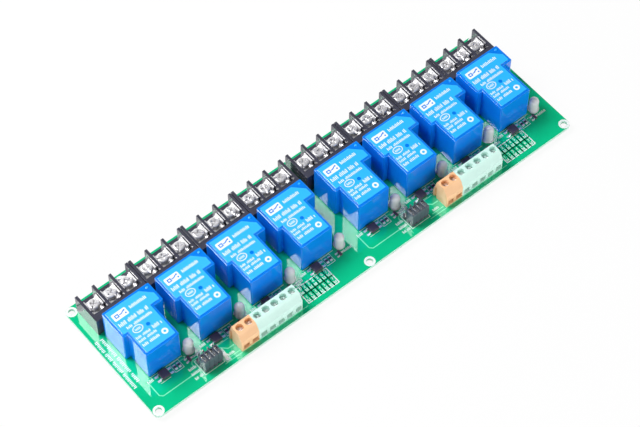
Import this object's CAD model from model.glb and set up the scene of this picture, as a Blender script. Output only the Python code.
"""Finishes, prints and fine details of an eight-channel relay module board, as a Blender add-on."""

import math

import bmesh
import bpy
from bpy.props import FloatProperty, FloatVectorProperty, PointerProperty
from mathutils import Matrix, Vector


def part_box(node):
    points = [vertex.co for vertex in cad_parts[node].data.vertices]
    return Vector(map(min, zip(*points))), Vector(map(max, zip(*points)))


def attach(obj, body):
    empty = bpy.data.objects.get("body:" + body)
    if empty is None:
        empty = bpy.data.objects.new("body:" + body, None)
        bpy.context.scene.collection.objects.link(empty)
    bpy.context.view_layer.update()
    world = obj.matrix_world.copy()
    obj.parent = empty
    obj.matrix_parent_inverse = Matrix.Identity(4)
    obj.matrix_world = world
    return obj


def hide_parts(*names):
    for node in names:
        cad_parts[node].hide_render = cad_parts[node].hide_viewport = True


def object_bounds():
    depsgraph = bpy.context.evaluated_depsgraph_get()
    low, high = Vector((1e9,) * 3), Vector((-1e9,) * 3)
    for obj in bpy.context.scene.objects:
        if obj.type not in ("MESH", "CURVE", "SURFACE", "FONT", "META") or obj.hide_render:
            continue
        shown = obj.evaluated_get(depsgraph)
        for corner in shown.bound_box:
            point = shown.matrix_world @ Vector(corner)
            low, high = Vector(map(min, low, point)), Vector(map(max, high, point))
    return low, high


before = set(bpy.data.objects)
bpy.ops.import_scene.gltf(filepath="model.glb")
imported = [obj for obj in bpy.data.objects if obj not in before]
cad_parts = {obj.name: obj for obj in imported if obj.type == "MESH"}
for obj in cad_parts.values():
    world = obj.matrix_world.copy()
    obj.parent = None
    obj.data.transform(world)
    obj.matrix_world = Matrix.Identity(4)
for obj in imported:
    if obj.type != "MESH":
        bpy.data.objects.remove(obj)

bl_info = {
    "name": "Relay Module Board",
    "version": (1, 0, 0),
    "blender": (4, 5, 0),
    "location": "3D View > Sidebar > Relay Board",
    "description": "Dresses an eight-channel relay module board and sets its stage",
    "category": "Object",
}

MM = 0.001
BODY = "root"
CHANNELS = range(1, 9)
GROUPS = (1, 2)
LEANING_LAMP = 7

BOARD_LOW, BOARD_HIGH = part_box("circuit_board")
BOARD_TOP = BOARD_HIGH.z
CAD_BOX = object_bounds()


# ---- Where things are, from the frame ----

def middle(node):
    """Middle of a node's box, at rest."""
    low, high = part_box(node)
    return (low + high) / 2


def group_middle(group):
    """X of the middle of a group's four relays."""
    first = 4 * group - 3
    return (middle(f"relay_case_{first}").x + middle(f"relay_case_{first + 3}").x) / 2


# ---- Shader building ----

def add_node(tree, kind, inputs=None, **settings):
    """New node with its settings, and plain values or links for its inputs."""
    node = tree.nodes.new(kind)
    for name, value in settings.items():
        setattr(node, name, value)
    for name, value in (inputs or {}).items():
        if isinstance(value, bpy.types.NodeSocket):
            tree.links.new(value, node.inputs[name])
        else:
            node.inputs[name].default_value = value
    return node


def rgba(colour):
    """Colour with full alpha."""
    return (colour[0], colour[1], colour[2], 1.0)


def shade(colour, factor):
    """Colour made darker or lighter, kept under white."""
    return tuple(min(1.0, channel * factor) for channel in colour)


def new_group(name, inputs, outputs):
    """Empty shader node group with named sockets: each is (name, socket type, default)."""
    group = bpy.data.node_groups.new(name, "ShaderNodeTree")
    for socket, kind, value in inputs:
        made = group.interface.new_socket(name=socket, in_out="INPUT", socket_type=kind)
        made.default_value = value
    for socket, kind in outputs:
        group.interface.new_socket(name=socket, in_out="OUTPUT", socket_type=kind)
    return group, group.nodes.new("NodeGroupInput"), group.nodes.new("NodeGroupOutput")


SURFACE_OUTPUTS = (
    ("Color", "NodeSocketColor"),
    ("Roughness", "NodeSocketFloat"),
    ("Height", "NodeSocketFloat"),
)


def moulded_grain_group():
    """Moulded plastic: cloudy colour, uneven gloss, and a fine grain."""
    tree, given, result = new_group("moulded_grain", (
        ("Color", "NodeSocketColor", (0.5, 0.5, 0.5, 1)),
        ("Cloud", "NodeSocketColor", (0.4, 0.4, 0.4, 1)),
        ("Cloud Size", "NodeSocketFloat", 180.0),
        ("Grain Size", "NodeSocketFloat", 2500.0),
        ("Smooth", "NodeSocketFloat", 0.2),
        ("Rough", "NodeSocketFloat", 0.4),
    ), SURFACE_OUTPUTS)
    place = add_node(tree, "ShaderNodeTexCoord").outputs["Object"]
    cloud = add_node(tree, "ShaderNodeTexNoise", {
        "Vector": place, "Scale": given.outputs["Cloud Size"], "Detail": 3.0})
    spread = add_node(tree, "ShaderNodeMapRange", {
        "Value": cloud.outputs["Fac"], "From Min": 0.35, "From Max": 0.7})
    colour = add_node(tree, "ShaderNodeMix", {
        "Factor": spread.outputs["Result"]}, data_type="RGBA")
    tree.links.new(given.outputs["Color"], colour.inputs["A"])
    tree.links.new(given.outputs["Cloud"], colour.inputs["B"])
    grain = add_node(tree, "ShaderNodeTexNoise", {
        "Vector": place, "Scale": given.outputs["Grain Size"], "Detail": 2.0})
    gloss = add_node(tree, "ShaderNodeMapRange", {
        "Value": grain.outputs["Fac"], "From Min": 0.3, "From Max": 0.7,
        "To Min": given.outputs["Smooth"], "To Max": given.outputs["Rough"]})
    tree.links.new(colour.outputs["Result"], result.inputs["Color"])
    tree.links.new(gloss.outputs["Result"], result.inputs["Roughness"])
    tree.links.new(grain.outputs["Fac"], result.inputs["Height"])
    return tree


def plated_metal_group():
    """Plated metal: dull patches, fine rubbed lines, and small dents."""
    tree, given, result = new_group("plated_metal", (
        ("Color", "NodeSocketColor", (0.8, 0.8, 0.8, 1)),
        ("Dull", "NodeSocketColor", (0.6, 0.6, 0.6, 1)),
        ("Patch Size", "NodeSocketFloat", 700.0),
        ("Smooth", "NodeSocketFloat", 0.2),
        ("Rough", "NodeSocketFloat", 0.45),
    ), SURFACE_OUTPUTS)
    place = add_node(tree, "ShaderNodeTexCoord").outputs["Object"]
    patch = add_node(tree, "ShaderNodeTexNoise", {
        "Vector": place, "Scale": given.outputs["Patch Size"], "Detail": 4.0, "Roughness": 0.65})
    spread = add_node(tree, "ShaderNodeMapRange", {
        "Value": patch.outputs["Fac"], "From Min": 0.4, "From Max": 0.68})
    colour = add_node(tree, "ShaderNodeMix", {
        "Factor": spread.outputs["Result"]}, data_type="RGBA")
    tree.links.new(given.outputs["Color"], colour.inputs["A"])
    tree.links.new(given.outputs["Dull"], colour.inputs["B"])
    stretch = add_node(tree, "ShaderNodeMapping", {"Vector": place, "Scale": (900.0, 6000.0, 900.0)})
    lines = add_node(tree, "ShaderNodeTexNoise", {
        "Vector": stretch.outputs["Vector"], "Scale": 1.0, "Detail": 2.0})
    gloss = add_node(tree, "ShaderNodeMapRange", {
        "Value": spread.outputs["Result"],
        "To Min": given.outputs["Smooth"], "To Max": given.outputs["Rough"]})
    tree.links.new(colour.outputs["Result"], result.inputs["Color"])
    tree.links.new(gloss.outputs["Result"], result.inputs["Roughness"])
    tree.links.new(lines.outputs["Fac"], result.inputs["Height"])
    return tree


def printed_ink_group():
    """Screen-printed ink: thin spots where the ground shows through, and a dry edge."""
    tree, given, result = new_group("printed_ink", (
        ("Color", "NodeSocketColor", (1, 1, 1, 1)),
        ("Ground", "NodeSocketColor", (0.5, 0.5, 0.5, 1)),
        ("Speck Size", "NodeSocketFloat", 3000.0),
        ("Thinness", "NodeSocketFloat", 0.3),
    ), SURFACE_OUTPUTS)
    place = add_node(tree, "ShaderNodeTexCoord").outputs["Object"]
    speck = add_node(tree, "ShaderNodeTexNoise", {
        "Vector": place, "Scale": given.outputs["Speck Size"], "Detail": 3.0})
    spread = add_node(tree, "ShaderNodeMapRange", {
        "Value": speck.outputs["Fac"], "From Min": 0.5, "From Max": 0.75,
        "To Max": given.outputs["Thinness"]})
    colour = add_node(tree, "ShaderNodeMix", {
        "Factor": spread.outputs["Result"]}, data_type="RGBA")
    tree.links.new(given.outputs["Color"], colour.inputs["A"])
    tree.links.new(given.outputs["Ground"], colour.inputs["B"])
    gloss = add_node(tree, "ShaderNodeMapRange", {
        "Value": speck.outputs["Fac"], "To Min": 0.35, "To Max": 0.6})
    tree.links.new(colour.outputs["Result"], result.inputs["Color"])
    tree.links.new(gloss.outputs["Result"], result.inputs["Roughness"])
    tree.links.new(speck.outputs["Fac"], result.inputs["Height"])
    return tree


GROUP_MAKERS = {
    "moulded_grain": moulded_grain_group,
    "plated_metal": plated_metal_group,
    "printed_ink": printed_ink_group,
}


def shared_group(name):
    """The node group of that name, built on its first use."""
    return bpy.data.node_groups.get(name) or GROUP_MAKERS[name]()


def bare_material(name, **shader):
    """New material with a Principled shader whose constants are set on its own sockets."""
    material = bpy.data.materials.new(name)
    material.use_nodes = True
    principled = material.node_tree.nodes["Principled BSDF"]
    for socket, value in shader.items():
        principled.inputs[socket.replace("_", " ")].default_value = value
    return material, principled


def surface_material(name, group, values, bump=(0.05, 0.02 * MM), **shader):
    """Material whose colour, roughness and bump come from a shared group. Its name is none of the
    frame's own, because a material of that name is taken as it is."""
    made = bpy.data.materials.get(name)
    if made:
        return made
    made, principled = bare_material(name, **shader)
    tree = made.node_tree
    effect = add_node(tree, "ShaderNodeGroup", node_tree=shared_group(group))
    for socket, value in values.items():
        effect.inputs[socket].default_value = value
    strength, depth = bump
    relief = add_node(tree, "ShaderNodeBump", {
        "Strength": strength, "Distance": depth, "Height": effect.outputs["Height"]})
    tree.links.new(effect.outputs["Color"], principled.inputs["Base Color"])
    tree.links.new(effect.outputs["Roughness"], principled.inputs["Roughness"])
    tree.links.new(relief.outputs["Normal"], principled.inputs["Normal"])
    return made


def colours():
    """The colours that the user has set."""
    return bpy.context.scene.relay_board_colours


def sizes():
    """The sizes that the user has set."""
    return bpy.context.scene.relay_board_sizes


def moulded(name, colour, cloud=0.86, smooth=0.15, rough=0.3, cloud_size=160.0, **shader):
    """Moulded plastic of one colour."""
    return surface_material(name, "moulded_grain", {
        "Color": rgba(colour), "Cloud": rgba(shade(colour, cloud)), "Cloud Size": cloud_size,
        "Smooth": smooth, "Rough": rough}, **shader)


def metal(name, colour, dull=0.75, smooth=0.25, rough=0.4, patch_size=700.0, metallic=0.4):
    """Plated metal of one colour. The dull oxide on it scatters a part of the light."""
    return surface_material(name, "plated_metal", {
        "Color": rgba(colour), "Dull": rgba(shade(colour, dull)), "Patch Size": patch_size,
        "Smooth": smooth, "Rough": rough}, bump=(0.2, 0.01 * MM), Metallic=metallic)


def ink(name, colour, ground, thinness=0.3):
    """Screen-printed ink over a ground colour."""
    return surface_material(name, "printed_ink", {
        "Color": rgba(colour), "Ground": rgba(ground), "Thinness": thinness})


def relay_blue():
    """Polished sides of a relay case."""
    return moulded("polished_blue", colours().relay, cloud=0.93, smooth=0.03, rough=0.08, IOR=1.8)


def relay_top_blue():
    """Finely textured top of a relay case, paler than its polished sides."""
    return moulded("textured_blue", colours().relay_top, cloud=0.96, smooth=0.35, rough=0.5,
                   bump=(0.12, 0.01 * MM))


def black_plastic():
    return moulded("satin_black", colours().black, cloud=0.8, smooth=0.08, rough=0.18, IOR=1.65)


def cap_plastic():
    return moulded("glossy_cap", colours().cap, cloud=0.85, smooth=0.1, rough=0.22)


def chip_plastic():
    return moulded("chip_epoxy", colours().chip, cloud=0.85, smooth=0.4, rough=0.6,
                   bump=(0.2, 0.02 * MM))


def orange_plastic():
    return moulded("moulded_orange", colours().orange, cloud=0.95, smooth=0.3, rough=0.42)


def mint_plastic():
    return moulded("moulded_mint", colours().mint, cloud=0.97, smooth=0.25, rough=0.4)


def plated_steel():
    return metal("nickel_plate", colours().steel, dull=0.85, patch_size=900.0)


def tinned_metal():
    return metal("bright_tin", colours().tin, dull=0.88)


def pin_metal():
    return metal("bright_pins", colours().pin, dull=0.85, smooth=0.15, rough=0.3, metallic=0.85)


def brass():
    return metal("bare_brass", colours().brass, dull=0.7)


def board_ink():
    return ink("board_ink", colours().ink, colours().mask, thinness=0.25)


def relay_ink():
    return ink("relay_ink", colours().ink, colours().relay_top, thinness=0.3)


def lamp_white():
    return moulded("white_lens", (0.88, 0.9, 0.86), cloud=0.94, smooth=0.2, rough=0.35)


def solder_mask():
    """Glossy green mask: uneven thickness, a trace of the glass weave, and dark copper edges."""
    name = "glossy_mask"
    made = bpy.data.materials.get(name)
    if made:
        return made
    made, principled = bare_material(name, IOR=1.75)
    tree = made.node_tree
    place = add_node(tree, "ShaderNodeTexCoord").outputs["Object"]
    flow = add_node(tree, "ShaderNodeTexNoise", {"Vector": place, "Scale": 45.0, "Detail": 2.0})
    spread = add_node(tree, "ShaderNodeMapRange", {
        "Value": flow.outputs["Fac"], "From Min": 0.35, "From Max": 0.65})
    colour = add_node(tree, "ShaderNodeMix", {
        "Factor": spread.outputs["Result"], }, data_type="RGBA")
    colour.inputs["A"].default_value = rgba(colours().mask)
    colour.inputs["B"].default_value = rgba(shade(colours().mask, 0.88))
    weave = []
    for direction in ("X", "Y"):
        threads = add_node(tree, "ShaderNodeTexWave", {
            "Vector": place, "Scale": 220.0, "Distortion": 0.6, "Detail": 1.0},
            bands_direction=direction)
        weave.append(threads.outputs["Fac"])
    crossing = add_node(tree, "ShaderNodeMath", {0: weave[0], 1: weave[1]}, operation="MULTIPLY")
    relief = add_node(tree, "ShaderNodeBump", {
        "Strength": 0.02, "Distance": 0.02 * MM, "Height": crossing.outputs[0]})
    gloss = add_node(tree, "ShaderNodeMapRange", {
        "Value": flow.outputs["Fac"], "To Min": 0.02, "To Max": 0.06})
    tree.links.new(colour.outputs["Result"], principled.inputs["Base Color"])
    tree.links.new(gloss.outputs["Result"], principled.inputs["Roughness"])
    tree.links.new(relief.outputs["Normal"], principled.inputs["Normal"])
    return made


def masked_copper():
    """A copper track under the mask, paler than the ground around it."""
    return moulded("masked_copper", colours().track, cloud=0.9, smooth=0.05, rough=0.15, IOR=1.7)


def board_edge():
    """Sawn edge of the laminate, in thin layers."""
    name = "sawn_edge"
    made = bpy.data.materials.get(name)
    if made:
        return made
    made, principled = bare_material(name, Roughness=0.6)
    tree = made.node_tree
    place = add_node(tree, "ShaderNodeTexCoord").outputs["Object"]
    layers = add_node(tree, "ShaderNodeTexWave", {
        "Vector": place, "Scale": 900.0, "Distortion": 1.5, "Detail": 2.0}, bands_direction="Z")
    colour = add_node(tree, "ShaderNodeMix", {"Factor": layers.outputs["Fac"]}, data_type="RGBA")
    colour.inputs["A"].default_value = rgba(colours().laminate)
    colour.inputs["B"].default_value = rgba(shade(colours().laminate, 0.75))
    relief = add_node(tree, "ShaderNodeBump", {
        "Strength": 0.3, "Distance": 0.03 * MM, "Height": layers.outputs["Fac"]})
    tree.links.new(colour.outputs["Result"], principled.inputs["Base Color"])
    tree.links.new(relief.outputs["Normal"], principled.inputs["Normal"])
    return made


def clear_resin():
    """Clear cast resin, with faint ripples."""
    name = "clear_resin"
    made = bpy.data.materials.get(name)
    if made:
        return made
    made, principled = bare_material(name, IOR=1.5, Transmission_Weight=0.25)
    tree = made.node_tree
    place = add_node(tree, "ShaderNodeTexCoord").outputs["Object"]
    ripple = add_node(tree, "ShaderNodeTexNoise", {"Vector": place, "Scale": 500.0, "Detail": 1.0})
    tint = add_node(tree, "ShaderNodeMix", {"Factor": ripple.outputs["Fac"]}, data_type="RGBA")
    tint.inputs["A"].default_value = (0.99, 0.995, 1.0, 1)
    tint.inputs["B"].default_value = (0.93, 0.94, 0.96, 1)
    gloss = add_node(tree, "ShaderNodeMapRange", {
        "Value": ripple.outputs["Fac"], "To Min": 0.0, "To Max": 0.06})
    relief = add_node(tree, "ShaderNodeBump", {
        "Strength": 0.15, "Distance": 0.1 * MM, "Height": ripple.outputs["Fac"]})
    tree.links.new(tint.outputs["Result"], principled.inputs["Base Color"])
    tree.links.new(gloss.outputs["Result"], principled.inputs["Roughness"])
    tree.links.new(relief.outputs["Normal"], principled.inputs["Normal"])
    return made


# ---- Mesh building ----

def finish_piece(name, shape, materials, smooth_angle=32):
    """Object from a bmesh, shaded smooth up to an angle, riding on the board."""
    mesh = bpy.data.meshes.new(name)
    bmesh.ops.recalc_face_normals(shape, faces=shape.faces)
    shape.to_mesh(mesh)
    shape.free()
    for material in materials:
        mesh.materials.append(material)
    mesh.polygons.foreach_set("use_smooth", [True] * len(mesh.polygons))
    mesh.set_sharp_from_angle(angle=math.radians(smooth_angle))
    piece = bpy.data.objects.new(name, mesh)
    bpy.context.scene.collection.objects.link(piece)
    # Wide faces keep their own normal, so their gloss stays even up to the rounded edges
    even = piece.modifiers.new("even_normals", "WEIGHTED_NORMAL")
    even.weight = 100
    even.keep_sharp = True
    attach(piece, BODY)
    return piece


def prism(shape, outline, low, high):
    """Closed prism over a flat outline."""
    bottom = [shape.verts.new((x, y, low)) for x, y in outline]
    top = [shape.verts.new((x, y, high)) for x, y in outline]
    shape.faces.new(list(reversed(bottom)))
    shape.faces.new(top)
    for i in range(len(outline)):
        shape.faces.new((bottom[i - 1], bottom[i], top[i], top[i - 1]))


def collar(shape, outer, inner, low, high):
    """Closed band between two outlines with the same number of points."""
    rings = [[shape.verts.new((x, y, z)) for x, y in line]
             for line, z in ((outer, low), (outer, high), (inner, high), (inner, low))]
    for i in range(len(outer)):
        for k in range(4):
            a, b = rings[k - 1], rings[k]
            shape.faces.new((a[i - 1], a[i], b[i], b[i - 1]))


def rectangle(x0, y0, x1, y1):
    return [(x0, y0), (x1, y0), (x1, y1), (x0, y1)]


def ellipse(x, y, rx, ry, steps=32):
    turns = [2 * math.pi * i / steps for i in range(steps)]
    return [(x + rx * math.cos(a), y + ry * math.sin(a)) for a in turns]


def soft_rectangle(x0, y0, x1, y1, r, steps=4):
    """Rectangle with round corners."""
    points = []
    for cx, cy, start in ((x1 - r, y1 - r, 0), (x0 + r, y1 - r, 90),
                          (x0 + r, y0 + r, 180), (x1 - r, y0 + r, 270)):
        for i in range(steps + 1):
            a = math.radians(start + 90 * i / steps)
            points.append((cx + r * math.cos(a), cy + r * math.sin(a)))
    return points


def stroke(shape, points, width, low, high):
    """Line of constant width with mitred bends."""
    left, right = [], []
    for i, point in enumerate(points):
        here = Vector(point)
        before = (here - Vector(points[i - 1])).normalized() if i else None
        after = (Vector(points[i + 1]) - here).normalized() if i + 1 < len(points) else None
        along = ((before or after) + (after or before)).normalized()
        side = Vector((-along.y, along.x))
        reach = width / 2 / max(0.3, along.dot(after or before))
        left.append(tuple(here + side * reach))
        right.append(tuple(here - side * reach))
    prism(shape, left + right[::-1], low, high)


def box_shape(shape, low, high):
    """Closed box between two corners."""
    prism(shape, rectangle(low[0], low[1], high[0], high[1]), low[2], high[2])


def lathe(shape, profile, steps=32, flat=None):
    """Closed turned shape: profile points (radius, height) from the foot's middle to the top's.
    With flat, the points that reach past that distance on the -X side are cut back to it."""
    rings = []
    for radius, height in profile:
        if radius < 1e-9:
            rings.append([shape.verts.new((0, 0, height))])
            continue
        ring = []
        for i in range(steps):
            a = 2 * math.pi * i / steps
            x, y = radius * math.cos(a), radius * math.sin(a)
            if flat is not None and x < -flat:
                x = -flat
            ring.append(shape.verts.new((x, y, height)))
        rings.append(ring)
    for low, high in zip(rings, rings[1:]):
        for i in range(steps):
            corners = [low[i - 1 if len(low) > 1 else 0], low[i if len(low) > 1 else 0],
                       high[i if len(high) > 1 else 0], high[i - 1 if len(high) > 1 else 0]]
            unique = []
            for corner in corners:
                if corner not in unique:
                    unique.append(corner)
            if len(unique) > 2:
                shape.faces.new(unique)


def node_shape(node):
    """A node's mesh with its split corners joined and its flat faces whole."""
    shape = bmesh.new()
    shape.from_mesh(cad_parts[node].data)
    bmesh.ops.remove_doubles(shape, verts=shape.verts, dist=0.002 * MM)
    bmesh.ops.dissolve_limit(shape, angle_limit=math.radians(0.5), verts=shape.verts,
                             edges=shape.edges)
    return shape


def rounded_shape(node, width, steps=2, skip=None):
    """A node's mesh with its sharp edges rounded. skip says which edge middles stay sharp."""
    shape = node_shape(node)
    sharp = [edge for edge in shape.edges
             if edge.is_manifold and edge.is_convex and edge.calc_face_angle(0) > math.radians(32)
             and not (skip and skip((edge.verts[0].co + edge.verts[1].co) / 2))]
    bmesh.ops.bevel(shape, geom=sharp, offset=width, offset_type="OFFSET", segments=steps,
                    profile=0.5, affect="EDGES", clamp_overlap=True)
    return shape


def dressed(node, width, material, skip=None, name=None):
    """A piece that stands for a node, with rounded edges and its own material."""
    piece = finish_piece(name or node + "_dressed", rounded_shape(node, width, skip=skip),
                         [material])
    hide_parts(node)
    return piece


def paint_node(node, material):
    """A node that is shown as it is, in a better material."""
    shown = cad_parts[node]
    if not shown.material_slots:
        shown.data.materials.append(material)
    for holder in shown.material_slots:
        holder.material = material


def digit_shape(digit, height, thickness):
    """Mesh of a plain digit that stands at the origin."""
    writing = bpy.data.curves.new("digit", "FONT")
    writing.body = digit
    writing.size = height * 1.45
    writing.extrude = thickness / 2
    writing.align_x = "CENTER"
    writing.align_y = "CENTER"
    writing.resolution_u = 3
    holder = bpy.data.objects.new("digit", writing)
    bpy.context.scene.collection.objects.link(holder)
    solid = holder.evaluated_get(bpy.context.evaluated_depsgraph_get())
    mesh = bpy.data.meshes.new_from_object(solid)
    bpy.data.objects.remove(holder)
    bpy.data.curves.remove(writing)
    return mesh


def add_digit(shape, digit, place, height, thickness, turn=0.0):
    """Puts a digit into a print."""
    mesh = digit_shape(digit, height, thickness)
    mesh.transform(Matrix.Translation(place) @ Matrix.Rotation(math.radians(turn), 4, "Z"))
    shape.from_mesh(mesh)
    bpy.data.meshes.remove(mesh)


def dashes(shape, x0, x1, y, height, words, low, high, upright=False):
    """Row of small upright bars that stands for a line of print. words gives each word's bars."""
    count = sum(words) + len(words) - 1
    pitch = (x1 - x0) / count
    at = x0
    for w, word in enumerate(words):
        for k in range(word):
            tall = height * (1.0, 0.72, 1.0, 0.86)[(k + w) % 4]
            bar = rectangle(at, y - height / 2, at + pitch * 0.55, y - height / 2 + tall)
            if upright:
                bar = [(-b, a) for a, b in bar]
            prism(shape, bar, low, high)
            at += pitch
        at += pitch


# ---- Circuit board ----

def dress_circuit_board():
    """The board, glossy mask on both faces and bare laminate at its edges."""
    shape = rounded_shape("circuit_board", sizes().board_edge)
    for face in shape.faces:
        if abs(face.normal.z) < 0.5:
            face.material_index = 1
    piece = finish_piece("board_dressed", shape, [solder_mask(), board_edge()])
    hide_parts("circuit_board")


def hole_middles():
    """Places of the five mounting holes."""
    inset = 2.75 * MM
    x, y = BOARD_HIGH.x - inset, BOARD_HIGH.y - inset
    return [(-x, -y), (x, -y), (-x, y), (x, y), (0, -y)]


def add_hole_rings():
    """Pale ring round each mounting hole."""
    low, high = BOARD_TOP, BOARD_TOP + sizes().ink
    shape = bmesh.new()
    for x, y in hole_middles():
        collar(shape, ellipse(x, y, 2.72 * MM, 2.72 * MM, 48), ellipse(x, y, 1.65 * MM, 1.65 * MM, 48),
               low, high)
    finish_piece("hole_rings", shape, [board_ink()])


def add_tracks():
    """Tracks that show through the mask."""
    low, high = BOARD_TOP, BOARD_TOP + sizes().track
    shape = bmesh.new()
    for group in GROUPS:
        gx = group_middle(group)
        routes = (
            (0.5, ((-57.4, -19.8), (-57.4, -27.3), (-56.0, -28.7), (-34.9, -28.7))),
            (0.45, ((-36.1, -26.6), (-36.1, -23.8), (-35.2, -22.7), (-29.0, -22.7))),
            (0.3, ((-40.3, -19.1), (-37.2, -19.1))),
            (0.45, ((-23.6, -23.6), (-15.0, -23.6))),
            (0.6, ((-23.6, -25.3), (-20.9, -25.3), (-18.3, -27.9), (-15.0, -27.9))),
            (0.4, ((-22.0, -32.0), (-15.0, -32.0))),
            (0.45, ((-24.4, -33.6), (24.5, -33.6))),
            (0.3, ((-35.9, -32.8), (-35.9, -34.6))),
        )
        for width, route in routes:
            stroke(shape, [(gx + x * MM, y * MM) for x, y in route], width * MM, low, high)
    finish_piece("board_tracks", shape, [masked_copper()])


def frame_line(shape, x0, y0, x1, y1, width, low, high):
    """Rectangle drawn as a line."""
    half = width / 2
    collar(shape, rectangle(x0 - half, y0 - half, x1 + half, y1 + half),
           rectangle(x0 + half, y0 + half, x1 - half, y1 - half), low, high)


def add_selector_print(shape, gx, low, high):
    """Frame round the selector pins, with three short labels beside it."""
    frame_line(shape, gx - 34.6 * MM, -32.3 * MM, gx - 23.6 * MM, -23.5 * MM, sizes().line * 1.3,
               low, high)
    for row, (left, words) in enumerate(((-39.2, (6,)), (-39.5, (7,)), (-39.6, (3, 3)))):
        y = (-25.7 - 2.7 * row) * MM
        dashes(shape, gx + left * MM, gx - 35.1 * MM, y, 1.5 * MM, words, low, high)


def add_table(shape, gx, low, high):
    """Table of numbered cells: seven columns and two rows."""
    line = sizes().line
    x0, x1, y0, y1 = gx + 25.5 * MM, gx + 43.7 * MM, -32.8 * MM, -23.0 * MM
    columns, rows = 7, 2
    wide, tall = (x1 - x0) / columns, (y1 - y0) / rows
    for c in range(columns):
        for r in range(rows):
            left, front = x0 + c * wide, y0 + r * tall
            frame_line(shape, left, front, left + wide, front + tall, line * 2.2, low, high)
            place = Vector((left + wide / 2, front + tall * 0.68, (low + high) / 2))
            add_digit(shape, str(c + 1), place, 1.5 * MM, high - low)
            dashes(shape, left + 0.55 * MM, left + wide - 0.45 * MM, front + tall * 0.27, 1.5 * MM,
                   (3,), low, high)


def add_board_print():
    """White print on the board."""
    low, high = BOARD_TOP, BOARD_TOP + sizes().ink
    line = sizes().line
    shape = bmesh.new()
    for group in GROUPS:
        gx = group_middle(group)
        add_selector_print(shape, gx, low, high)
        add_table(shape, gx, low, high)
        dashes(shape, gx - 20.4 * MM, gx - 16.8 * MM, -30.6 * MM, 1.4 * MM, (6,), low, high)
    # Frame round the power lamp
    lamp = middle("power_lamp")
    frame_line(shape, lamp.x - 1.2 * MM, lamp.y - 3.5 * MM, lamp.x + 1.2 * MM, lamp.y + 3.5 * MM,
               line, low, high)
    for n in CHANNELS:
        x = middle(f"relay_case_{n}").x
        # Box round the two resistors, short labels, and lines before the optocoupler and relay
        frame_line(shape, x + 0.4 * MM, -22.7 * MM, x + 5.1 * MM, -17.8 * MM, line, low, high)
        dashes(shape, x - 12.9 * MM, x - 9.7 * MM, -19.0 * MM, 1.6 * MM, (5,), low, high)
        stroke(shape, ((x - 8.3 * MM, -23.1 * MM), (x - 2.6 * MM, -23.1 * MM)), line, low, high)
        dashes(shape, x + 11.6 * MM, x + 16.4 * MM, -21.0 * MM, 1.4 * MM, (7,), low, high)
        relay_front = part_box(f"relay_case_{n}")[0].y
        stroke(shape, ((x - 10.6 * MM, relay_front - 0.35 * MM), (x + 7.8 * MM, relay_front - 0.35 * MM)),
               line, low, high)
    # Two lines of dashes along the left edge
    edge = BOARD_LOW.x
    for inset, y0, y1, words in ((1.7, -17.5, 13.5, (12, 9, 6, 9)), (4.7, -15.4, 13.2, (6, 11, 13))):
        dashes(shape, y0 * MM, y1 * MM, -(edge + inset * MM), 1.7 * MM, words, low, high,
               upright=True)
    finish_piece("board_print", shape, [board_ink()])


# ---- Relays ----

def dress_relay(n):
    """Case with rounded edges. The small dimple in its top stays as it is."""
    low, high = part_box(f"relay_case_{n}")
    dimple = Vector(((low.x + high.x) / 2, high.y - 17.7 * MM, high.z))
    reach = 1.4 * MM
    shape = rounded_shape(f"relay_case_{n}", sizes().case_edge,
                          skip=lambda place: (place - dimple).length < reach)
    for face in shape.faces:
        if face.normal.z > 0.99 and face.calc_center_median().z > high.z - 0.01 * MM:
            face.material_index = 1
    piece = finish_piece(f"relay_case_{n}_dressed", shape, [relay_blue(), relay_top_blue()])
    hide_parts(f"relay_case_{n}")
    paint_node(f"relay_pins_{n}", tinned_metal())


def add_relay_print(n):
    """Generic print on the top: a contact symbol on a plate, rows of dashes and two rings."""
    box_low, box_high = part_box(f"relay_case_{n}")
    x = (box_low.x + box_high.x) / 2
    back = box_high.y
    low, high = box_high.z, box_high.z + sizes().ink
    shape = bmesh.new()

    def at(points):
        return [(x + a * MM, back + b * MM) for a, b in points]

    def row(x0, x1, y, height, words):
        dashes(shape, x + x0 * MM, x + x1 * MM, back + y * MM, height * MM, words, low, high)

    prism(shape, at(soft_rectangle(-10.8, -7.8, -3.0, -3.7, 0.6)), low, high)
    row(-1.3, 8.0, -5.4, 1.8, (12,))
    row(-10.8, 5.4, -10.4, 2.2, (5, 6, 4, 2))
    row(-8.8, 5.2, -13.6, 1.5, (4, 13))
    collar(shape, at(ellipse(-5.1, -16.8, 2.7, 2.0)), at(ellipse(-5.1, -16.8, 2.3, 1.6)), low, high)
    row(-6.6, -3.5, -16.8, 1.3, (5,))
    row(-8.8, -0.8, -20.6, 1.4, (4, 6))
    row(0.6, 5.6, -20.3, 2.0, (5, 1))
    row(-8.8, 1.1, -22.7, 1.4, (5, 7))
    row(-8.6, 0.7, -25.3, 1.6, (4, 7))
    collar(shape, at(ellipse(3.6, -25.4, 1.6, 1.6, 24)), at(ellipse(3.6, -25.4, 0.7, 0.7, 24)),
           low, high)
    finish_piece(f"relay_print_{n}", shape, [relay_ink()])
    # Coil and changeover contact, in the case's own colour on the white plate
    symbol = bmesh.new()
    low, high = high, high + sizes().ink / 2
    collar(symbol, at(rectangle(-9.7, -6.7, -7.6, -4.8)), at(rectangle(-9.2, -6.2, -8.1, -5.3)),
           low, high)
    stroke(symbol, at(((-7.3, -5.75), (-6.1, -5.75), (-4.6, -4.9))), 0.5 * MM, low, high)
    for cy in (-4.9, -6.6):
        prism(symbol, at(ellipse(-4.2, cy, 0.42, 0.42, 16)), low, high)
    finish_piece(f"relay_symbol_{n}", symbol, [relay_blue()])


# ---- Barrier blocks ----

def dress_barrier_block(n):
    dressed(f"barrier_block_{n}", sizes().block_edge, black_plastic())


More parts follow.
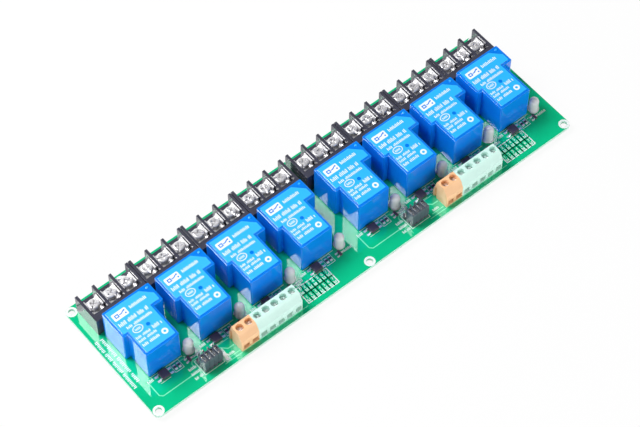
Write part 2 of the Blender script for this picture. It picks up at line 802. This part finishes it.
def dress_barrier_metal():
    paint_node("barrier_contacts", plated_steel())
    dressed("barrier_clamps", sizes().metal_edge, plated_steel())
    dressed("barrier_screws", sizes().metal_edge, plated_steel())


# ---- Screw terminals ----

def dress_terminals():
    for g in GROUPS:
        dressed(f"power_terminal_{g}", sizes().terminal_edge, orange_plastic())
        for part in ("a", "b"):
            dressed(f"input_terminal_{part}_{g}", sizes().terminal_edge, mint_plastic())
    paint_node("terminal_cages", brass())
    paint_node("terminal_pins", tinned_metal())
    dressed("terminal_screws", sizes().metal_edge, plated_steel())


# ---- Selector pins ----

def dress_selectors():
    for g in GROUPS:
        dressed(f"pin_block_{g}", sizes().metal_edge, black_plastic())
        dressed(f"selector_pins_{g}", sizes().metal_edge, pin_metal())
        dressed(f"jumper_caps_{g}", sizes().cap_edge, cap_plastic())


# ---- Indicator lamps ----

def lamp_turn(n):
    """Turn of the leaning lamp's axis, and how far its foot is lifted."""
    if n != LEANING_LAMP:
        return Matrix.Identity(4)
    lean = math.radians(14)
    lift = 2.9 * MM * math.sin(lean)
    return (Matrix.Translation((0, 0, lift)) @ Matrix.Rotation(math.radians(45), 4, "Z")
            @ Matrix.Rotation(lean, 4, "Y"))


def add_lamp(n):
    """Clear lamp with its two posts, cup and chip inside."""
    leads_y = -17.0 * MM
    foot = Vector((middle(f"relay_case_{n}").x + 12 * MM, leads_y, BOARD_TOP))
    place = Matrix.Translation(foot) @ lamp_turn(n)
    r = 2.5 * MM
    tall = 8.6 * MM
    shape = bmesh.new()
    dome = [(r * math.cos(a), tall - r + r * math.sin(a))
            for a in [math.radians(90 * i / 10) for i in range(11)]]
    profile = [(0, 0), (2.8 * MM, 0), (2.9 * MM, 0.1 * MM), (2.9 * MM, 0.9 * MM),
               (2.8 * MM, 1.0 * MM), (r + 0.08 * MM, 1.0 * MM), (r, 1.1 * MM), (r, 3.5 * MM)]
    profile += dome[:-1] + [(0, tall)]
    lathe(shape, profile, steps=48, flat=2.5 * MM)
    shape.transform(place)
    lens = finish_piece(f"lamp_lens_{n}", shape, [clear_resin()], smooth_angle=50)
    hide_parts(f"lamp_{n}")
    inside = bmesh.new()
    t = 0.25 * MM
    # Wide post with the cup, and narrow post
    post = [(-1.5, 0.3), (-1.0, 0.3), (-1.0, 2.2), (0.9, 3.4), (0.9, 4.3), (-1.5, 4.3)]
    narrow = [(1.0, 0.3), (1.5, 0.3), (1.5, 4.5), (1.15, 4.5), (1.15, 3.0), (1.0, 2.6)]
    for outline in (post, narrow):
        side = bmesh.new()
        prism(side, [(a * MM, b * MM) for a, b in outline], -t, t)
        side.transform(Matrix.Rotation(math.radians(90), 4, "X"))
        holder = bpy.data.meshes.new("post")
        side.to_mesh(holder)
        side.free()
        inside.from_mesh(holder)
        bpy.data.meshes.remove(holder)
    cup = bmesh.new()
    lathe(cup, [(0, 4.2 * MM), (0.75 * MM, 4.2 * MM), (1.0 * MM, 5.0 * MM), (0.85 * MM, 5.0 * MM),
                (0.5 * MM, 4.5 * MM), (0, 4.5 * MM)], steps=24)
    cup.transform(Matrix.Translation((-0.3 * MM, 0, 0)))
    holder = bpy.data.meshes.new("cup")
    cup.to_mesh(holder)
    cup.free()
    inside.from_mesh(holder)
    bpy.data.meshes.remove(holder)
    inside.transform(place)
    finish_piece(f"lamp_posts_{n}", inside, [tinned_metal()])


# ---- Surface parts ----

def dress_chips():
    dressed("optocouplers", 0.05 * MM, chip_plastic())
    paint_node("optocoupler_leads", tinned_metal())
    dressed("transistors", 0.05 * MM, chip_plastic())
    paint_node("transistor_leads", tinned_metal())
    dressed("chip_resistors", 0.04 * MM, chip_plastic())
    dressed("power_lamp", 0.08 * MM, lamp_white())
    paint_node("lamp_leads", tinned_metal())


def add_resistor_ends():
    """Tinned caps on the ends of the chip resistors, with a fillet of solder."""
    shape = bmesh.new()
    proud = 0.03 * MM
    low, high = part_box("chip_resistors")
    half = 0.62 * MM + proud
    top = high.z + proud
    for n in CHANNELS:
        cx = middle(f"relay_case_{n}").x
        for dx in (1.7, 3.8):
            x = cx + dx * MM
            for end, side in ((low.y, -1), (high.y, 1)):
                y0, y1 = sorted((end - side * 0.38 * MM, end + side * proud))
                box_shape(shape, (x - half, y0, BOARD_TOP), (x + half, y1, top))
                y0, y1 = sorted((end, end + side * 0.5 * MM))
                box_shape(shape, (x - half, y0, BOARD_TOP), (x + half, y1, BOARD_TOP + 0.15 * MM))
    finish_piece("resistor_ends", shape, [tinned_metal()])


def add_solder_pads():
    """Tinned pads under the leads of the small parts, and at both ends of the power lamp."""
    shape = bmesh.new()
    low, high = BOARD_TOP, BOARD_TOP + 0.06 * MM

    def pad(x, y, wide, deep):
        prism(shape, soft_rectangle(x - wide / 2, y - deep / 2, x + wide / 2, y + deep / 2,
                                    0.15 * MM), low, high)

    opto_y = middle("optocouplers").y
    for n in CHANNELS:
        cx = middle(f"relay_case_{n}").x
        for side in (-3.6, 3.6):
            for dy in (-1.27, 1.27):
                pad(cx + (-4.5 + side) * MM, opto_y + dy * MM, 1.7 * MM, 1.1 * MM)
        for dx, dy in ((-1.6, -0.95), (-1.6, 0.95), (1.6, 0.0)):
            pad(cx + (9.15 + dx) * MM, (-21.0 + dy) * MM, 1.1 * MM, 0.9 * MM)
    lamp = middle("power_lamp")
    for side in (-1, 1):
        pad(lamp.x, lamp.y + side * 2.3 * MM, 1.7 * MM, 1.6 * MM)
    finish_piece("solder_pads", shape, [tinned_metal()])


# ---- Settings ----

class RelayBoardSizes(bpy.types.PropertyGroup):
    """Sizes of the rounded edges and prints."""

    board_edge: FloatProperty(
        name="Board edge", description="Rounding of the board's edges",
        default=0.08 * MM, min=0.0, unit="LENGTH")
    case_edge: FloatProperty(
        name="Relay edge", description="Rounding of the relay cases' edges",
        default=0.2 * MM, min=0.0, unit="LENGTH")
    block_edge: FloatProperty(
        name="Barrier block edge", description="Rounding of the barrier blocks' edges",
        default=0.15 * MM, min=0.0, unit="LENGTH")
    terminal_edge: FloatProperty(
        name="Terminal edge", description="Rounding of the screw terminals' edges",
        default=0.15 * MM, min=0.0, unit="LENGTH")
    cap_edge: FloatProperty(
        name="Jumper cap edge", description="Rounding of the jumper caps' edges",
        default=0.14 * MM, min=0.0, unit="LENGTH")
    metal_edge: FloatProperty(
        name="Metal edge", description="Rounding of screws, clamps and pins",
        default=0.08 * MM, min=0.0, unit="LENGTH")
    ink: FloatProperty(
        name="Ink thickness", description="Thickness of the printed ink",
        default=0.03 * MM, min=0.0, unit="LENGTH")
    line: FloatProperty(
        name="Line width", description="Width of the lines printed on the board",
        default=0.22 * MM, min=0.0, unit="LENGTH")
    track: FloatProperty(
        name="Track height", description="How far the tracks rise under the mask",
        default=0.02 * MM, min=0.0, unit="LENGTH")


def colour_property(name, description, default):
    """Colour setting in linear values."""
    return FloatVectorProperty(name=name, description=description, default=default, size=3,
                               min=0.0, max=1.0, subtype="COLOR")


class RelayBoardColours(bpy.types.PropertyGroup):
    """Colours of the pieces, in linear values."""

    mask: colour_property("Solder mask", "Green mask on the board", (0.003, 0.6, 0.27))
    track: colour_property("Track", "Tracks under the mask", (0.22, 0.95, 0.58))
    laminate: colour_property("Laminate", "Sawn edge of the board", (0.62, 0.92, 0.78))
    relay: colour_property("Relay", "Polished sides of the relay cases", (0.003, 0.23, 0.9))
    relay_top: colour_property("Relay top", "Textured tops of the relay cases", (0.02, 0.48, 1.0))
    black: colour_property("Barrier black", "Barrier blocks and pin blocks", (0.07, 0.07, 0.095))
    cap: colour_property("Cap", "Jumper caps", (0.09, 0.11, 0.14))
    chip: colour_property("Chip", "Bodies of the small parts", (0.085, 0.066, 0.1))
    orange: colour_property("Orange", "Power terminals", (1.0, 0.6, 0.32))
    mint: colour_property("Mint", "Input terminals", (0.68, 0.97, 0.88))
    steel: colour_property("Plated steel", "Screws, clamps and contact plates", (0.98, 0.97, 0.98))
    tin: colour_property("Tin", "Solder and tinned leads", (0.95, 0.95, 0.95))
    pin: colour_property("Pins", "Selector pins", (0.86, 0.83, 0.74))
    brass: colour_property("Brass", "Cages in the terminals", (0.72, 0.52, 0.22))
    ink: colour_property("Ink", "Printed marks", (0.9, 0.95, 0.94))


class RelayBoardStage(bpy.types.PropertyGroup):
    """Camera and light."""

    azimuth: FloatProperty(
        name="Azimuth", description="Turn of the view, 0 looks along +Y",
        default=math.radians(-39.5), subtype="ANGLE")
    elevation: FloatProperty(
        name="Elevation", description="Height of the view above level",
        default=math.radians(56.84), subtype="ANGLE")
    distance: FloatProperty(
        name="Distance", description="Camera to the board's middle",
        default=1.0413, min=0.1, unit="LENGTH")
    lens: FloatProperty(name="Lens", description="Focal length", default=123.1, min=20.0,
                        unit="CAMERA")
    key: FloatProperty(name="Key light", description="Power of the softbox behind, in watts",
                       default=12.0, min=0.0)
    front: FloatProperty(name="Front light", description="Power of the front softbox, in watts",
                         default=2.0, min=0.0)
    fill: FloatProperty(name="Fill light", description="Brightness of the white walls",
                        default=1.6, min=0.0)


# ---- Stage ----

def background_share(tree):
    """1 for rays that show the background: from the camera, and in gloss and glass."""
    path = add_node(tree, "ShaderNodeLightPath")
    seen = add_node(tree, "ShaderNodeMath", {
        0: path.outputs["Is Camera Ray"], 1: path.outputs["Is Glossy Ray"]}, operation="MAXIMUM")
    return add_node(tree, "ShaderNodeMath", {
        0: seen.outputs[0], 1: path.outputs["Is Transmission Ray"]},
        operation="MAXIMUM").outputs[0]


def make_floor():
    """White floor that keeps a trace of the board's shadow."""
    material, principled = bare_material("stage_floor", Roughness=0.9)
    principled.inputs["Base Color"].default_value = (0.9, 0.9, 0.9, 1)
    tree = material.node_tree
    white = add_node(tree, "ShaderNodeEmission", {"Color": (1, 1, 1, 1), "Strength": 1.0})
    share = add_node(tree, "ShaderNodeMath", {0: background_share(tree), 1: 0.93},
                     operation="MULTIPLY")
    mix = add_node(tree, "ShaderNodeMixShader", {0: share.outputs[0]})
    tree.links.new(principled.outputs["BSDF"], mix.inputs[1])
    tree.links.new(white.outputs["Emission"], mix.inputs[2])
    tree.links.new(mix.outputs["Shader"], tree.nodes["Material Output"].inputs["Surface"])
    shape = bmesh.new()
    half = 3.0
    level = CAD_BOX[0][2]
    corners = [shape.verts.new((x, y, level)) for x, y in rectangle(-half, -half, half, half)]
    shape.faces.new(corners)
    mesh = bpy.data.meshes.new("floor")
    shape.to_mesh(mesh)
    shape.free()
    mesh.materials.append(material)
    floor = bpy.data.objects.new("floor", mesh)
    bpy.context.scene.collection.objects.link(floor)


def make_world(fill):
    """White to the camera; for light and gloss, white walls under a dark ceiling."""
    world = bpy.data.worlds.new("studio")
    bpy.context.scene.world = world
    world.use_nodes = True
    tree = world.node_tree
    background = tree.nodes["Background"]
    direction = add_node(tree, "ShaderNodeTexCoord").outputs["Generated"]
    height = add_node(tree, "ShaderNodeSeparateXYZ", {"Vector": direction}).outputs["Z"]
    wall = add_node(tree, "ShaderNodeMapRange", {
        "Value": height, "From Min": 0.3, "From Max": 0.65, "To Min": 1.0, "To Max": 0.03})
    towards = add_node(tree, "ShaderNodeVectorMath", {0: direction}, operation="DOT_PRODUCT")
    towards.inputs[1].default_value = (-0.35, -0.94, 0.0)
    side = add_node(tree, "ShaderNodeMapRange", {
        "Value": towards.outputs["Value"], "From Min": -1.0,
        "To Min": fill * 0.45, "To Max": fill})
    room = add_node(tree, "ShaderNodeMath", {
        0: wall.outputs["Result"], 1: side.outputs["Result"]}, operation="MULTIPLY")
    path = add_node(tree, "ShaderNodeLightPath")
    level = add_node(tree, "ShaderNodeMix", {"Factor": path.outputs["Is Camera Ray"]},
                     data_type="FLOAT")
    tree.links.new(room.outputs["Value"], level.inputs["A"])
    level.inputs["B"].default_value = 1.0
    background.inputs["Color"].default_value = (1, 1, 1, 1)
    tree.links.new(level.outputs["Result"], background.inputs["Strength"])


def make_softbox(name, direction, distance, size, power):
    """Square lamp that faces the board's middle."""
    data = bpy.data.lights.new(name, "AREA")
    data.energy = power
    data.shape = "SQUARE"
    data.size = size
    lamp = bpy.data.objects.new(name, data)
    lamp.location = Vector(direction).normalized() * distance
    lamp.rotation_euler = lamp.location.to_track_quat("Z", "Y").to_euler()
    lamp.visible_camera = False
    bpy.context.scene.collection.objects.link(lamp)


def make_camera(stage):
    """Camera that looks down on the board from the front left."""
    data = bpy.data.cameras.new("camera")
    data.lens = stage.lens
    data.sensor_width = 36.0
    data.clip_start = 0.01
    camera = bpy.data.objects.new("camera", data)
    flat = math.cos(stage.elevation)
    back = Vector((flat * math.sin(stage.azimuth), -flat * math.cos(stage.azimuth),
                   math.sin(stage.elevation)))
    aim = Vector((-1.0 * MM, 2.26 * MM, BOARD_TOP))
    camera.location = aim + back * stage.distance
    camera.rotation_euler = back.to_track_quat("Z", "Y").to_euler()
    bpy.context.scene.collection.objects.link(camera)
    bpy.context.scene.camera = camera


# ---- Operators ----

class RELAY_BOARD_OT_board(bpy.types.Operator):
    """Dress the circuit board and add its tracks, rings and print"""

    bl_idname = "relay_board.board"
    bl_label = "Circuit Board"

    def execute(self, context):
        dress_circuit_board()
        add_hole_rings()
        add_tracks()
        add_board_print()
        return {"FINISHED"}


class RELAY_BOARD_OT_relays(bpy.types.Operator):
    """Dress the relay cases and print their tops"""

    bl_idname = "relay_board.relays"
    bl_label = "Relays"

    def execute(self, context):
        for n in CHANNELS:
            dress_relay(n)
            add_relay_print(n)
        return {"FINISHED"}


class RELAY_BOARD_OT_barrier_blocks(bpy.types.Operator):
    """Dress the barrier blocks, their contacts, clamps and screws"""

    bl_idname = "relay_board.barrier_blocks"
    bl_label = "Barrier Blocks"

    def execute(self, context):
        for n in CHANNELS:
            dress_barrier_block(n)
        dress_barrier_metal()
        return {"FINISHED"}


class RELAY_BOARD_OT_terminals(bpy.types.Operator):
    """Dress the screw terminals and their metal"""

    bl_idname = "relay_board.terminals"
    bl_label = "Screw Terminals"

    def execute(self, context):
        dress_terminals()
        return {"FINISHED"}


class RELAY_BOARD_OT_selectors(bpy.types.Operator):
    """Dress the selector pins and jumper caps"""

    bl_idname = "relay_board.selectors"
    bl_label = "Selector Pins"

    def execute(self, context):
        dress_selectors()
        return {"FINISHED"}


class RELAY_BOARD_OT_lamps(bpy.types.Operator):
    """Make the clear indicator lamps and what is inside them"""

    bl_idname = "relay_board.lamps"
    bl_label = "Indicator Lamps"

    def execute(self, context):
        for n in CHANNELS:
            add_lamp(n)
        return {"FINISHED"}


class RELAY_BOARD_OT_chips(bpy.types.Operator):
    """Dress the small surface parts and add their solder"""

    bl_idname = "relay_board.chips"
    bl_label = "Surface Parts"

    def execute(self, context):
        dress_chips()
        add_resistor_ends()
        add_solder_pads()
        return {"FINISHED"}


class RELAY_BOARD_OT_stage(bpy.types.Operator):
    """Set the floor, the lamps, the world and the camera"""

    bl_idname = "relay_board.stage"
    bl_label = "Stage"

    def execute(self, context):
        stage = context.scene.relay_board_stage
        make_floor()
        make_world(stage.fill)
        make_softbox("key_softbox", (-0.348, 0.422, 0.837), 1.1, 0.5, stage.key)
        make_softbox("front_softbox", (0.1, -0.9, 0.43), 1.1, 0.4, stage.front)
        make_camera(stage)
        context.scene.view_settings.view_transform = "Standard"
        return {"FINISHED"}


class RELAY_BOARD_PT_panel(bpy.types.Panel):
    """Settings and steps of the relay board"""

    bl_idname = "RELAY_BOARD_PT_panel"
    bl_label = "Relay Board"
    bl_space_type = "VIEW_3D"
    bl_region_type = "UI"
    bl_category = "Relay Board"

    def draw(self, context):
        layout = self.layout
        for operator in OPERATORS:
            layout.operator(operator.bl_idname)
        for settings in (context.scene.relay_board_sizes, context.scene.relay_board_colours,
                         context.scene.relay_board_stage):
            box = layout.box()
            for name in settings.__annotations__:
                box.prop(settings, name)


SETTINGS = {
    "relay_board_sizes": RelayBoardSizes,
    "relay_board_colours": RelayBoardColours,
    "relay_board_stage": RelayBoardStage,
}
OPERATORS = (
    RELAY_BOARD_OT_board,
    RELAY_BOARD_OT_relays,
    RELAY_BOARD_OT_barrier_blocks,
    RELAY_BOARD_OT_terminals,
    RELAY_BOARD_OT_selectors,
    RELAY_BOARD_OT_lamps,
    RELAY_BOARD_OT_chips,
    RELAY_BOARD_OT_stage,
)


def register():
    for kind in (*SETTINGS.values(), *OPERATORS, RELAY_BOARD_PT_panel):
        bpy.utils.register_class(kind)
    for name, kind in SETTINGS.items():
        setattr(bpy.types.Scene, name, PointerProperty(type=kind))


def unregister():
    for name in SETTINGS:
        delattr(bpy.types.Scene, name)
    for kind in reversed((*SETTINGS.values(), *OPERATORS, RELAY_BOARD_PT_panel)):
        bpy.utils.unregister_class(kind)


def main():
    register()
    bpy.ops.relay_board.board()
    bpy.ops.relay_board.relays()
    bpy.ops.relay_board.barrier_blocks()
    bpy.ops.relay_board.terminals()
    bpy.ops.relay_board.selectors()
    bpy.ops.relay_board.lamps()
    bpy.ops.relay_board.chips()
    bpy.ops.relay_board.stage()


if __name__ == "__main__":
    main()
